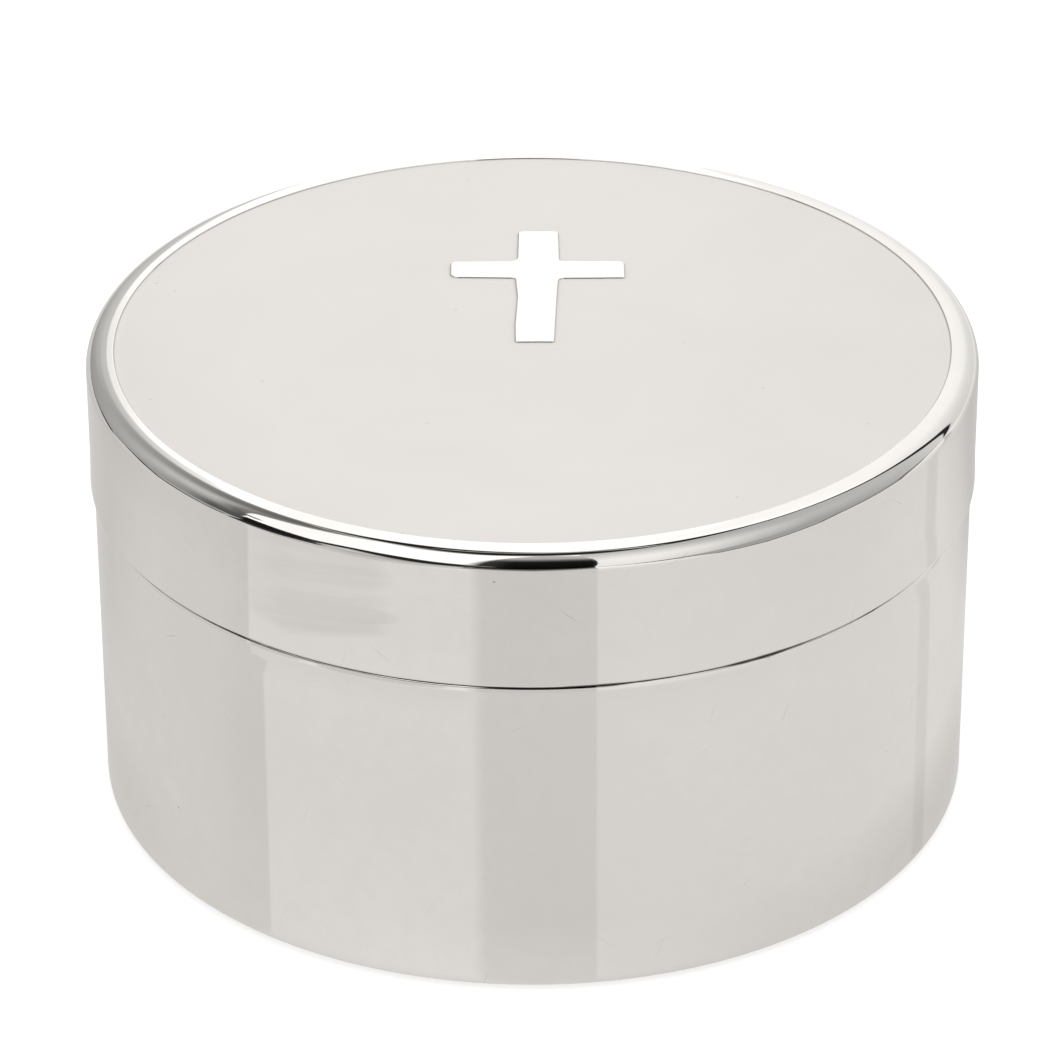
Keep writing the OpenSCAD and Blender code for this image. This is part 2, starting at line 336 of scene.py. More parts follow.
def buildStudio():
    scene = bpy.context.scene
    scene.world = bpy.data.worlds.new("studioFill")
    scene.world.use_nodes = True
    tree = scene.world.node_tree
    setNode(tree, tree.nodes["Background"], {"Color": linear(studio["fill"]),
                                             "Strength": studio["fillStrength"]})

    work = bmesh.new()
    around, upward = studio["domeSegments"]
    bmesh.ops.create_uvsphere(work, u_segments=around, v_segments=upward, radius=studio["domeRadius"])
    mesh = bpy.data.meshes.new("whiteTent")
    work.to_mesh(mesh)
    work.free()
    mesh.materials.append(glowMaterial("tentWhite", studio["domeGlow"]))
    showOnly(newObject("whiteTent", mesh), camera=True, glossy=True)
    hangCards()

    # matt paper that is clear from below, so that the foot can be seen
    paper = bpy.data.materials.new("whiteBackgroundPaper")
    paper.use_nodes = True
    tree = paper.node_tree
    surface = setNode(tree, tree.nodes["Principled BSDF"], {
        "Base Color": linear(studio["paper"]), "Roughness": studio["paperRoughness"],
        "Emission Color": linear("#FFFFFF"), "Emission Strength": studio["paperGlow"]})
    side = addNode(tree, "ShaderNodeNewGeometry", {})
    clear = addNode(tree, "ShaderNodeBsdfTransparent", {})
    seen = addNode(tree, "ShaderNodeMixShader", {0: side.outputs["Backfacing"], 1: surface, 2: clear})
    setNode(tree, tree.nodes["Material Output"], {"Surface": seen})
    reach, level = studio["paperReach"], studio["paperLevel"]
    square = [(x * reach, y * reach, level) for x, y in ((-1, -1), (1, -1), (1, 1), (-1, 1))]
    showOnly(newObject("floorPaper", meshFrom("floorPaper", square, [(0, 1, 2, 3)], paper)),
             camera=True, diffuse=True, shadow=True)

    layTable()

    light = bpy.data.lights.new("keySoftbox", "AREA")
    light.shape = "DISK"
    light.size = studio["keySize"]
    light.energy = studio["keyPower"]
    key = bpy.data.objects.new("keySoftbox", light)
    scene.collection.objects.link(key)
    key.location = studio["keyPlace"]
    key.rotation_euler = Vector(studio["keyPlace"]).to_track_quat("Z", "Y").to_euler()
    key.visible_glossy = False
    print("studio: tent, cards, table and key light are up")


def newMaterial(name):
    material = bpy.data.materials.new(name)
    material.use_nodes = True
    tree = material.node_tree
    coordinates = addNode(tree, "ShaderNodeTexCoord", {})
    return material, tree, tree.nodes["Principled BSDF"], coordinates.outputs["Object"]


def shadedJointLine(tree, parts, azimuth, unrolled):
    # a grey line of painted shade along the joint under the lid, where its gap is shaded; the gap closes
    # on the right
    paint = {"height": 27.0, "width": 0.24, "core": 0.45, "lumpSize": 7, "thinning": (0.8, 1.7),
             "radius": 34.35, "fades": (50, 60), "faded": 0.15}
    away = addNode(tree, "ShaderNodeMath", {"operation": "SUBTRACT", 0: parts.outputs["Z"],
                                            1: paint["height"] * mm})
    distance = addNode(tree, "ShaderNodeMath", {"operation": "ABSOLUTE", 0: away})
    uneven = addNode(tree, "ShaderNodeTexNoise", {"Vector": unrolled, "Detail": 3.0,
                                                  "Scale": perMetre(paint["lumpSize"])})
    thinning = addNode(tree, "ShaderNodeMapRange", {"Value": uneven, "From Min": 0.35, "From Max": 0.65,
                                                    "To Min": paint["thinning"][0],
                                                    "To Max": paint["thinning"][1]})
    thinned = addNode(tree, "ShaderNodeMath", {"operation": "MULTIPLY", 0: distance, 1: thinning})
    line = addNode(tree, "ShaderNodeMapRange", {"interpolation_type": "SMOOTHSTEP", "Value": thinned,
                                                "From Min": paint["width"] * paint["core"] * mm,
                                                "From Max": paint["width"] * mm, "To Min": 1.0,
                                                "To Max": 0.0})
    fading = addNode(tree, "ShaderNodeMapRange", {
        "Value": azimuth, "From Min": radians(paint["fades"][0]), "From Max": radians(paint["fades"][1]),
        "To Min": 1.0, "To Max": paint["faded"]})
    level = addNode(tree, "ShaderNodeCombineXYZ", {"X": parts.outputs["X"], "Y": parts.outputs["Y"]})
    radius = addNode(tree, "ShaderNodeVectorMath", {"operation": "LENGTH", 0: level})
    outside = addNode(tree, "ShaderNodeMath", {"operation": "GREATER_THAN", 0: radius,
                                               1: paint["radius"] * mm})
    outer = addNode(tree, "ShaderNodeMath", {"operation": "MULTIPLY", 0: line, 1: outside})
    return addNode(tree, "ShaderNodeMath", {"operation": "MULTIPLY", 0: outer, 1: fading})


def paintedReflectionPatch(tree, parts, azimuth, unrolled):
    # a darker, duller patch of the skirt on the left front, whose darker colour is a painted reflection,
    # in strokes that run round it and end ragged, its lower corners cut off and its lowest stroke the
    # dullest
    patchLook = {"from": -38.5, "to": -18.2, "fadeIn": 6.5, "fadeOut": (-1.5, 1.0), "ragged": 9,  # degrees
            "above": 28.9, "soft": 0.3, "corner": 1.0, "lowest": (-31, -19), "rise": 1.6,
            "strokeSize": 1.8, "stretch": 11, "shift": 9.6, "tilt": 6.5, "strokes": (0.14, 0.5),
            "lastStroke": (0.6, 1.9), "lastShare": 0.2}
    left = radians(patchLook["from"])
    drawn = addNode(tree, "ShaderNodeMapping", {
        "vector_type": "TEXTURE", "Vector": unrolled, "Scale": (patchLook["stretch"], 1.0, 1.0),
        "Rotation": (0.0, 0.0, radians(patchLook["tilt"])), "Location": (0.0, -patchLook["shift"] * mm, 0.0)})
    strokes = addNode(tree, "ShaderNodeTexNoise", {"Vector": drawn, "Detail": 4.0, "Roughness": 0.55,
                                                   "Scale": perMetre(patchLook["strokeSize"])})
    shift = addNode(tree, "ShaderNodeMath", {"operation": "SUBTRACT", 0: strokes, 1: 0.5})
    corner = addNode(tree, "ShaderNodeMapRange", {"Value": azimuth, "From Min": left,
                                                  "From Max": radians(patchLook["from"] + patchLook["fadeIn"]),
                                                  "To Min": patchLook["corner"] * mm, "To Max": 0.0})
    rise = addNode(tree, "ShaderNodeMapRange", {"Value": azimuth, "From Min": radians(patchLook["lowest"][0]),
                                                "From Max": radians(patchLook["lowest"][1]), "To Min": 0.0,
                                                "To Max": patchLook["rise"] * mm})
    cut = addNode(tree, "ShaderNodeMath", {"operation": "ADD", 0: corner, 1: rise})
    lower = addNode(tree, "ShaderNodeMath", {"operation": "SUBTRACT", 0: parts.outputs["Z"], 1: cut})
    above = addNode(tree, "ShaderNodeMapRange", {"Value": lower,
                                                 "From Min": (patchLook["above"] - patchLook["soft"]) * mm,
                                                 "From Max": (patchLook["above"] + patchLook["soft"]) * mm})
    rightEdge = addNode(tree, "ShaderNodeMath", {"operation": "MULTIPLY_ADD", 0: shift,
                                                 1: radians(patchLook["ragged"]), 2: azimuth})
    leftOf = addNode(tree, "ShaderNodeMapRange", {
        "Value": rightEdge, "From Min": radians(patchLook["to"] + patchLook["fadeOut"][0]),
        "From Max": radians(patchLook["to"] + patchLook["fadeOut"][1]), "To Min": 1.0, "To Max": 0.0})
    rightOf = addNode(tree, "ShaderNodeMapRange", {"Value": azimuth, "From Min": left,
                                                   "From Max": radians(patchLook["from"] + patchLook["fadeIn"])})
    across = addNode(tree, "ShaderNodeMath", {"operation": "MULTIPLY", 0: leftOf, 1: rightOf})
    patch = addNode(tree, "ShaderNodeMath", {"operation": "MULTIPLY", 0: across, 1: above})
    strokeShare = addNode(tree, "ShaderNodeMapRange", {"Value": strokes, "From Min": 0.64,
                                                       "From Max": 0.4, "To Min": patchLook["strokes"][0],
                                                       "To Max": patchLook["strokes"][1]})
    lastStroke = addNode(tree, "ShaderNodeMapRange", {
        "Value": lower, "From Min": (patchLook["above"] + patchLook["lastStroke"][0]) * mm,
        "From Max": (patchLook["above"] + patchLook["lastStroke"][1]) * mm,
        "To Min": patchLook["lastShare"], "To Max": 0.0})
    strokeSum = addNode(tree, "ShaderNodeMath", {"operation": "ADD", 0: strokeShare, 1: lastStroke})
    return addNode(tree, "ShaderNodeMath", {"operation": "MULTIPLY", 0: patch, 1: strokeSum})


def hairScratches(tree, unrolled):
    # in three directions, drawn 0.05 mm wide so that they show
    hair = {"width": 0.05, "length": 5, "spacing": 6, "turns": (24, -38, 71), "shares": (0.76, 0.84)}
    layers = []
    for turn in hair["turns"]:
        stretched = addNode(tree, "ShaderNodeMapping", {
            "vector_type": "TEXTURE", "Vector": unrolled, "Location": (turn * mm, 0.0, 0.0),
            "Rotation": (0.0, 0.0, radians(turn)),
            "Scale": (hair["length"] / hair["width"] / hair["spacing"], 1.0, 1.0)})
        lines = addNode(tree, "ShaderNodeTexNoise", {"Vector": stretched, "Detail": 1.0,
                                                     "Scale": perMetre(hair["width"] * hair["spacing"])})
        layers.append(addNode(tree, "ShaderNodeMapRange", {
            "Value": lines, "From Min": hair["shares"][0], "From Max": hair["shares"][1]}))
    scratched = layers[0]
    for layer in layers[1:]:
        scratched = addNode(tree, "ShaderNodeMath", {"operation": "MAXIMUM", 0: scratched, 1: layer})
    return scratched


def polishedSilverPlate():
    # Spun brass, silver plated and buffed: a near mirror, faintly warm, with the buff's long shallow
    # waves, clouds of haze, a thin film that mutes it in spots, a few pits, hair scratches, a grey line of
    # painted shade along the joint, and a duller patch whose darker colour is a painted reflection, which
    # the three functions above draw.
    look = {
        "colour": "#E8E6E4", "haze": "#E5E3E1", "film": "#E6E4E2", "pit": "#8E8883", "scratch": "#DAD8D6",
        "reflectionPatch": "#D3D1CF", "jointShadeColour": "#37332F",
        "roughness": 0.035, "hazeRoughness": 0.05, "patchRoughness": 0.12,
        "hazeSize": 14, "filmSize": 1.8, "pitSize": 5.5, "pitShare": 0.018, "pitStrength": 0.8,
        "waveSize": 16, "waveHeight": 0.004, "peelSize": 1.6, "peelHeight": 0.00005,
        "skirtRadius": 35.0,
    }
    material, tree, surface, place = newMaterial("polishedSilverPlate")
    parts = addNode(tree, "ShaderNodeSeparateXYZ", {"Vector": place})
    backward = addNode(tree, "ShaderNodeMath", {"operation": "MULTIPLY", 0: parts.outputs["Y"], 1: -1.0})
    azimuth = addNode(tree, "ShaderNodeMath", {"operation": "ARCTAN2", 0: parts.outputs["X"],
                                               1: backward})
    around = addNode(tree, "ShaderNodeMath", {"operation": "MULTIPLY", 0: azimuth,
                                              1: look["skirtRadius"] * mm})
    unrolled = addNode(tree, "ShaderNodeCombineXYZ", {"X": around, "Y": parts.outputs["Z"]})
    haze = addNode(tree, "ShaderNodeTexNoise", {"Vector": place, "Scale": perMetre(look["hazeSize"]),
                                                "Detail": 4.0, "Roughness": 0.6})
    hazeShare = addNode(tree, "ShaderNodeMapRange", {"Value": haze, "From Min": 0.48, "From Max": 0.75})
    # grey line of painted shade along the joint under the lid
    jointShadeMask = shadedJointLine(tree, parts, azimuth, unrolled)
    # darker, rougher patch on the skirt; its darker colour is a painted reflection
    reflectionPatch = paintedReflectionPatch(tree, parts, azimuth, unrolled)
    scratched = hairScratches(tree, unrolled)
    film = addNode(tree, "ShaderNodeTexNoise", {"Vector": place, "Scale": perMetre(look["filmSize"]),
                                                "Detail": 5.0, "Roughness": 0.65})
    filmShare = addNode(tree, "ShaderNodeMapRange", {"Value": film, "From Min": 0.42, "From Max": 0.66})
    dots = addNode(tree, "ShaderNodeTexVoronoi", {"Vector": place, "Scale": perMetre(look["pitSize"])})
    pitted = addNode(tree, "ShaderNodeMapRange", {"Value": dots, "From Min": look["pitShare"] * 0.5,
                                                  "From Max": look["pitShare"],
                                                  "To Min": look["pitStrength"], "To Max": 0.0})
    colour = linear(look["colour"])
    for share, name in ((hazeShare, "haze"), (filmShare, "film"), (pitted, "pit"), (scratched, "scratch"),
                        (reflectionPatch, "reflectionPatch"), (jointShadeMask, "jointShadeColour")):
        colour = addNode(tree, "ShaderNodeMix", {"data_type": "RGBA", 0: share, 6: colour,
                                                 7: linear(look[name])})
    rough = addNode(tree, "ShaderNodeMapRange", {"Value": hazeShare, "To Min": look["roughness"],
                                                 "To Max": look["hazeRoughness"]})
    rougher = addNode(tree, "ShaderNodeMath", {"operation": "MULTIPLY_ADD", 0: reflectionPatch,
                                               1: look["patchRoughness"] - look["roughness"], 2: rough})
    wave = addNode(tree, "ShaderNodeTexNoise", {"Vector": place, "Scale": perMetre(look["waveSize"]),
                                                "Detail": 1.0, "Roughness": 0.3})
    peel = addNode(tree, "ShaderNodeTexNoise", {"Vector": place, "Scale": perMetre(look["peelSize"]),
                                                "Detail": 2.0})
    waves = addNode(tree, "ShaderNodeBump", {"Height": wave, "Strength": 1.0,
                                             "Distance": look["waveHeight"] * mm})
    bumps = addNode(tree, "ShaderNodeBump", {"Height": peel, "Strength": 1.0, "Normal": waves,
                                             "Distance": look["peelHeight"] * mm})
    setNode(tree, surface, {"Metallic": 1.0, "Base Color": colour, "Roughness": rougher, "Normal": bumps})
    return material


def whitePouredEnamel():
    # White enamel poured into the lid's recess and ground level: opaque and glossy, with faint clouds,
    # a few specks of dust, and a grey hairline of painted shade where it meets the metal.
    look = {
        "colour": "#E5E1DE", "cloud": "#E2DEDB", "edgeShadeLine": "#B2ABA4", "speck": "#BDB8B2",
        "cloudSize": 16, "speckSize": 4.5, "speckShare": 0.045,
        "waveSize": 9, "waveHeight": 0.004, "roughness": 0.12,
    }
    material, tree, surface, place = newMaterial("whitePouredEnamel")
    cloud = addNode(tree, "ShaderNodeTexNoise", {"Vector": place, "Scale": perMetre(look["cloudSize"]),
                                                 "Detail": 5.0, "Roughness": 0.55, "Distortion": 0.6})
    cloudShare = addNode(tree, "ShaderNodeMapRange", {"Value": cloud, "From Min": 0.35,
                                                      "From Max": 0.65})
    colour = addNode(tree, "ShaderNodeMix", {"data_type": "RGBA", 0: cloudShare,
                                             6: linear(look["colour"]), 7: linear(look["cloud"])})
    dust = addNode(tree, "ShaderNodeTexVoronoi", {"Vector": place, "Scale": perMetre(look["speckSize"])})
    speckShare = addNode(tree, "ShaderNodeMapRange", {
        "Value": dust, "From Min": look["speckShare"] * 0.4, "From Max": look["speckShare"],
        "To Min": 0.35, "To Max": 0.0})
    specked = addNode(tree, "ShaderNodeMix", {"data_type": "RGBA", 0: speckShare, 6: colour,
                                              7: linear(look["speck"])})
    # grey hairline of painted shade where the enamel meets the metal
    edge = addNode(tree, "ShaderNodeAttribute", {"attribute_name": "metalEdgeShade"})
    edgeShaded = addNode(tree, "ShaderNodeMix", {"data_type": "RGBA", 0: edge.outputs["Fac"], 6: specked,
                                            7: linear(look["edgeShadeLine"])})
    wave = addNode(tree, "ShaderNodeTexNoise", {"Vector": place, "Scale": perMetre(look["waveSize"]),
                                                "Detail": 2.0})
    waves = addNode(tree, "ShaderNodeBump", {"Height": wave, "Strength": 1.0,
                                             "Distance": look["waveHeight"] * mm})
    rough = addNode(tree, "ShaderNodeMapRange", {"Value": cloud, "To Min": look["roughness"] * 0.7,
                                                 "To Max": look["roughness"] * 1.3})
    setNode(tree, surface, {"Base Color": edgeShaded, "Roughness": rough, "Normal": waves, "IOR": 1.52})
    return material


def ivoryVelvet():
    # Rayon velvet: a short dense pile that is dark seen straight on and lights up at a slant, with
    # patches where the pile was brushed another way and painted shade in the pile's low spots. The pile
    # is drawn 0.35 mm apart so that it shows.
    look = {
        "colour": "#EAE2D0", "brushed": "#DDD3BD", "pileShade": "#BFB49B",
        "pileSize": 0.35, "brushSize": 12, "pileHeight": 0.12,
    }
    material, tree, surface, place = newMaterial("ivoryVelvet")
    brush = addNode(tree, "ShaderNodeTexNoise", {"Vector": place, "Scale": perMetre(look["brushSize"]),
                                                 "Detail": 3.0, "Distortion": 1.2})
    brushShare = addNode(tree, "ShaderNodeMapRange", {"Value": brush, "From Min": 0.4, "From Max": 0.62})
    pile = addNode(tree, "ShaderNodeTexNoise", {"Vector": place, "Scale": perMetre(look["pileSize"]),
                                                "Detail": 3.0, "Roughness": 0.7})
    # painted shade in the pile's low spots, where the bump is lowest
    pileShadeShare = addNode(tree, "ShaderNodeMapRange", {"Value": pile, "From Min": 0.55, "From Max": 0.3,
                                                     "To Min": 0.0, "To Max": 0.7})
    colour = addNode(tree, "ShaderNodeMix", {"data_type": "RGBA", 0: brushShare,
                                             6: linear(look["colour"]), 7: linear(look["brushed"])})
    shadedPile = addNode(tree, "ShaderNodeMix", {"data_type": "RGBA", 0: pileShadeShare, 6: colour,
                                           7: linear(look["pileShade"])})
    bump = addNode(tree, "ShaderNodeBump", {"Height": pile, "Strength": 0.8,
                                            "Distance": look["pileHeight"] * mm})
    setNode(tree, surface, {"Base Color": shadedPile, "Normal": bump, "Roughness": 0.95, "Sheen Weight": 0.6,
                            "Sheen Roughness": 0.45, "Sheen Tint": linear("#F6F0E2")})
    return material


def greyWoolFelt():
    # Pressed wool felt: matt, with tangled fibres of lighter and darker grey.
    look = {"colour": "#A3A29C", "fibre": "#7C7B75", "fibreSize": 0.5, "fibreStretch": 0.22,
            "fibreHeight": 0.15, "patchSize": 7, "wander": 3}
    material, tree, surface, place = newMaterial("greyWoolFelt")
    bent = addNode(tree, "ShaderNodeTexNoise", {"Vector": place, "Scale": perMetre(look["patchSize"]),
                                                "Detail": 2.0})
    pulled = addNode(tree, "ShaderNodeVectorMath", {"operation": "SCALE", 0: bent.outputs["Color"],
                                                    "Scale": look["wander"] * mm})
    wandered = addNode(tree, "ShaderNodeVectorMath", {"operation": "ADD", 0: place, 1: pulled})
    long = addNode(tree, "ShaderNodeMapping", {"Vector": wandered,
                                               "Scale": (1.0, look["fibreStretch"], 1.0)})
    cross = addNode(tree, "ShaderNodeMapping", {"Vector": wandered,
                                                "Scale": (look["fibreStretch"], 1.0, 1.0)})
    first = addNode(tree, "ShaderNodeTexNoise", {"Vector": long, "Scale": perMetre(look["fibreSize"]),
                                                 "Detail": 4.0})
    second = addNode(tree, "ShaderNodeTexNoise", {"Vector": cross, "Scale": perMetre(look["fibreSize"]),
                                                  "Detail": 4.0})
    tangle = addNode(tree, "ShaderNodeMath", {"operation": "MAXIMUM", 0: first, 1: second})
    share = addNode(tree, "ShaderNodeMapRange", {"Value": tangle, "From Min": 0.45, "From Max": 0.68})
    colour = addNode(tree, "ShaderNodeMix", {"data_type": "RGBA", 0: share, 6: linear(look["fibre"]),
                                             7: linear(look["colour"])})
    bump = addNode(tree, "ShaderNodeBump", {"Height": tangle, "Strength": 0.7,
                                            "Distance": look["fibreHeight"] * mm})
    setNode(tree, surface, {"Base Color": colour, "Normal": bump, "Roughness": 1.0, "Sheen Weight": 0.25})
    return material


def greyBinderBoard():
    # Grey board of pulped waste paper: flecked, dull, with its plies showing along a cut edge.
    look = {"colour": "#B9B3A8", "fleck": "#8F897D", "fleckSize": 0.9, "plySize": 0.25, "height": 0.03,
            "bandsPerUnit": 20}
    material, tree, surface, place = newMaterial("greyBinderBoard")
    fleck = addNode(tree, "ShaderNodeTexNoise", {"Vector": place, "Scale": perMetre(look["fleckSize"]),
                                                 "Detail": 6.0, "Roughness": 0.7})
    share = addNode(tree, "ShaderNodeMapRange", {"Value": fleck, "From Min": 0.55, "From Max": 0.75})
    plies = addNode(tree, "ShaderNodeTexWave", {"Vector": place, "bands_direction": "Z",
                                                "Scale": perMetre(look["plySize"]) / look["bandsPerUnit"],
                                                "Distortion": 2.0, "Detail": 2.0})
    colour = addNode(tree, "ShaderNodeMix", {"data_type": "RGBA", 0: share, 6: linear(look["colour"]),
                                             7: linear(look["fleck"])})
    bump = addNode(tree, "ShaderNodeBump", {"Height": plies.outputs["Fac"], "Strength": 0.5,
                                            "Distance": look["height"] * mm})
    setNode(tree, surface, {"Base Color": colour, "Normal": bump, "Roughness": 0.9})
    return material


def whiteCottonWadding():
    # Cotton wadding: soft white fluff, all matt, with small lumps and hairs.
    look = {"colour": "#F1F0EC", "shade": "#D9D8D2", "tuftSize": 1.4, "hairSize": 0.35, "height": 0.3}
    material, tree, surface, place = newMaterial("whiteCottonWadding")
    tuft = addNode(tree, "ShaderNodeTexNoise", {"Vector": place, "Scale": perMetre(look["tuftSize"]),
                                                "Detail": 8.0, "Roughness": 0.75, "Distortion": 1.5})
    share = addNode(tree, "ShaderNodeMapRange", {"Value": tuft, "From Min": 0.35, "From Max": 0.6})
    colour = addNode(tree, "ShaderNodeMix", {"data_type": "RGBA", 0: share, 6: linear(look["shade"]),
                                             7: linear(look["colour"])})
    hair = addNode(tree, "ShaderNodeTexNoise", {"Vector": place, "Scale": perMetre(look["hairSize"]),
                                                "Detail": 4.0})
    tangle = addNode(tree, "ShaderNodeMath", {"operation": "ADD", 0: tuft, 1: hair})
    bump = addNode(tree, "ShaderNodeBump", {"Height": tangle, "Strength": 0.6,
                                            "Distance": look["height"] * mm})
    setNode(tree, surface, {"Base Color": colour, "Normal": bump, "Roughness": 1.0, "Sheen Weight": 0.2})
    return material


turning = {
    "pathRadius": 10.0,  # of the circle that carries the section; the section's own radii are kept
    "arcStep": 5.0,  # degrees between points of a rounded corner
    "arcPieces": 4,  # at least
    "guard": 0.03,  # mm from a corner to the extra point that keeps the flat beside it flat
    "roomFor": 4,  # the extra point is set where the flat is this many times the corner's reach
    "weld": 0.0001,  # mm
    "doubles": 0.00005,
}


def tidyShell(mesh):
    work = bmesh.new()
    work.from_mesh(mesh)
    bmesh.ops.remove_doubles(work, verts=work.verts, dist=turning["doubles"] * mm)
    bmesh.ops.recalc_face_normals(work, faces=work.faces)
    for face in work.faces:
        face.smooth = True
    work.to_mesh(mesh)
    work.free()


def evaluatedMesh(host):
    return bpy.data.meshes.new_from_object(host.evaluated_get(bpy.context.evaluated_depsgraph_get()))


def roundedSection(corners, closed, arcStep=None):
    arcStep = arcStep or turning["arcStep"]
    points = []
    for i, (r, z, radius) in enumerate(corners):
        here = Vector((r, z))
        if not closed and i in (0, len(corners) - 1):
            points.append(here)
            continue
        before = Vector(corners[i - 1][:2]) - here
        after = Vector(corners[(i + 1) % len(corners)][:2]) - here
        half = before.angle(after) / 2
        reach = radius / tan(half)
        toBefore, toAfter = before.normalized(), after.normalized()
        centre = here + (toBefore + toAfter).normalized() * radius / sin(half)
        start, end = here + toBefore * reach, here + toAfter * reach
        if before.length > turning["roomFor"] * reach:
            points.append(start + toBefore * turning["guard"])
        sweep = pi - 2 * half
        steps = max(turning["arcPieces"], ceil(sweep / radians(arcStep)))
        spokes = (start - centre, end - centre)
        for k in range(steps + 1):
            share = k / steps
            spoke = (spokes[0] * sin((1 - share) * sweep) + spokes[1] * sin(share * sweep)) / sin(sweep)
            points.append(centre + spoke)
        if after.length > turning["roomFor"] * reach:
            points.append(end + toAfter * turning["guard"])
    return points


def makeLatheTree():
    tree = bpy.data.node_groups.new("spinSection", "GeometryNodeTree")
    sockets = [("Section", "NodeSocketGeometry", "INPUT"), ("Segments", "NodeSocketInt", "INPUT"),
               ("Path Radius", "NodeSocketFloat", "INPUT"), ("Unevenness", "NodeSocketFloat", "INPUT"),
               ("Patch Size", "NodeSocketFloat", "INPUT"), ("Seed", "NodeSocketFloat", "INPUT"),
               ("Material", "NodeSocketMaterial", "INPUT"), ("Piece", "NodeSocketGeometry", "OUTPUT")]
    for name, kind, side in sockets:
        tree.interface.new_socket(name=name, socket_type=kind, in_out=side)
    given = addNode(tree, "NodeGroupInput", {}).outputs
    circle = addNode(tree, "GeometryNodeCurvePrimitiveCircle", {"Resolution": given["Segments"],
                                                                "Radius": given["Path Radius"]})
    upright = addNode(tree, "GeometryNodeSetCurveNormal", {"mode": "Z_UP", "Curve": circle})
    place = addNode(tree, "GeometryNodeInputPosition", {})
    parts = addNode(tree, "ShaderNodeSeparateXYZ", {"Vector": place})
    outward = addNode(tree, "ShaderNodeMath", {"operation": "SUBTRACT", 0: parts.outputs["X"],
                                               1: given["Path Radius"]})
    downward = addNode(tree, "ShaderNodeMath", {"operation": "MULTIPLY", 0: parts.outputs["Z"], 1: -1.0})
    flat = addNode(tree, "ShaderNodeCombineXYZ", {"X": outward, "Y": downward})
    curve = addNode(tree, "GeometryNodeMeshToCurve", {"Mesh": given["Section"]})
    section = addNode(tree, "GeometryNodeSetPosition", {"Geometry": curve, "Position": flat})
    spun = addNode(tree, "GeometryNodeCurveToMesh", {"Curve": upright, "Profile Curve": section})
    sealed = addNode(tree, "GeometryNodeMergeByDistance", {"Geometry": spun,
                                                           "Distance": turning["weld"] * mm})
    patches = addNode(tree, "ShaderNodeTexNoise", {"noise_dimensions": "4D", "W": given["Seed"],
                                                   "Scale": given["Patch Size"], "Detail": 2.0})
    centred = addNode(tree, "ShaderNodeMath", {"operation": "SUBTRACT", 0: patches, 1: 0.5})
    amount = addNode(tree, "ShaderNodeMath", {"operation": "MULTIPLY", 0: centred,
                                              1: given["Unevenness"]})
    facing = addNode(tree, "GeometryNodeInputNormal", {})
    push = addNode(tree, "ShaderNodeVectorMath", {"operation": "SCALE", 0: facing, "Scale": amount})
    uneven = addNode(tree, "GeometryNodeSetPosition", {"Geometry": sealed, "Offset": push})
    smooth = addNode(tree, "GeometryNodeSetShadeSmooth", {"Geometry": uneven})
    real = addNode(tree, "GeometryNodeRealizeInstances", {"Geometry": smooth})
    finished = addNode(tree, "GeometryNodeSetMaterial", {"Geometry": real,
                                                         "Material": given["Material"]})
    addNode(tree, "NodeGroupOutput", {0: finished})
    return tree


def spin(name, points, closed, material, segments=256, unevenness=0.0, patchSize=10.0, seed=1.0):
    mesh = bpy.data.meshes.new(name + "Section")
    count = len(points)
    edges = [(i, i + 1) for i in range(count - 1)] + ([(count - 1, 0)] if closed else [])
    mesh.from_pydata([(p[0] * mm, 0, p[1] * mm) for p in points], edges, [])
    host = newObject(name + "Section", mesh)
    modifier = host.modifiers.new("spinSection", "NODES")
    modifier.node_group = latheTree
    values = {"Segments": segments, "Path Radius": turning["pathRadius"] * mm,
              "Unevenness": unevenness * mm, "Patch Size": perMetre(patchSize), "Seed": seed,
              "Material": material}
    for socket in latheTree.interface.items_tree:
        if socket.in_out == "INPUT" and socket.name in values:
            modifier[socket.identifier] = values[socket.name]
    turned = evaluatedMesh(host)
    turned.name = name
    bpy.data.objects.remove(host)
    tidyShell(turned)
    return newObject(name, turned)


def handOver(piece, body, slot, *nodes):
    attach(piece, body)
    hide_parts(*nodes)


def heights(node):
    low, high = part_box(node)
    return low.z / mm, high.z / mm


def reachOf(node):
    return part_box(node)[1].x / mm


def spinCup():
    cup = {"wall": 0.8, "floor": 0.8, "footWidth": 4.7, "moatInner": 30.8, "footEdge": 0.8,
           "smallEdge": 0.08, "insideEdge": 0.4}
    # The trimmed rim: mm below the top, mm outside the wall, and the radius of the bend there. It bells
    # out by a hair and then rolls in under the lid.
    rim = [(2.4, 0.0, 12), (1.4, 0.02, 12), (0.5, 0.08, 0.4), (0.15, 0.04, 0.2), (0.0, -0.14, 0.14)]
    outer = reachOf("base_cup")
    bottom, top = heights("base_cup")
    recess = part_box("base_felt")[1].z / mm
    inner, footInner, plateau = outer - cup["wall"], outer - cup["footWidth"], recess + cup["floor"]
    small = cup["smallEdge"]
    corners = [(0, recess, 0), (footInner, recess, small), (footInner, bottom, small),
               (outer, bottom, cup["footEdge"])]
    corners += [(outer + out, top - below, bend) for below, out, bend in rim]
    corners += [(inner, top, small), (inner, recess, cup["insideEdge"]), (cup["moatInner"], recess, small),
                (cup["moatInner"], plateau, small), (0, plateau, 0)]
    piece = spin("silverCup", roundedSection(corners, False), False, silver)
    handOver(piece, "base", "silver_plate", "base_cup")


def spinNeck():
    neck = {"wall": 0.7, "leadEdge": 0.3, "smallEdge": 0.06}
    outer = reachOf("neck_collar")
    bottom, top = heights("neck_collar")
    inner = outer - neck["wall"]
    corners = [
        (inner, bottom, neck["smallEdge"]), (outer, bottom, neck["smallEdge"]),
        (outer, top, neck["leadEdge"]), (inner, top, neck["leadEdge"]),
    ]
    piece = spin("solderedNeck", roundedSection(corners, True), True, silver)
    handOver(piece, "base", "silver_plate", "neck_collar")


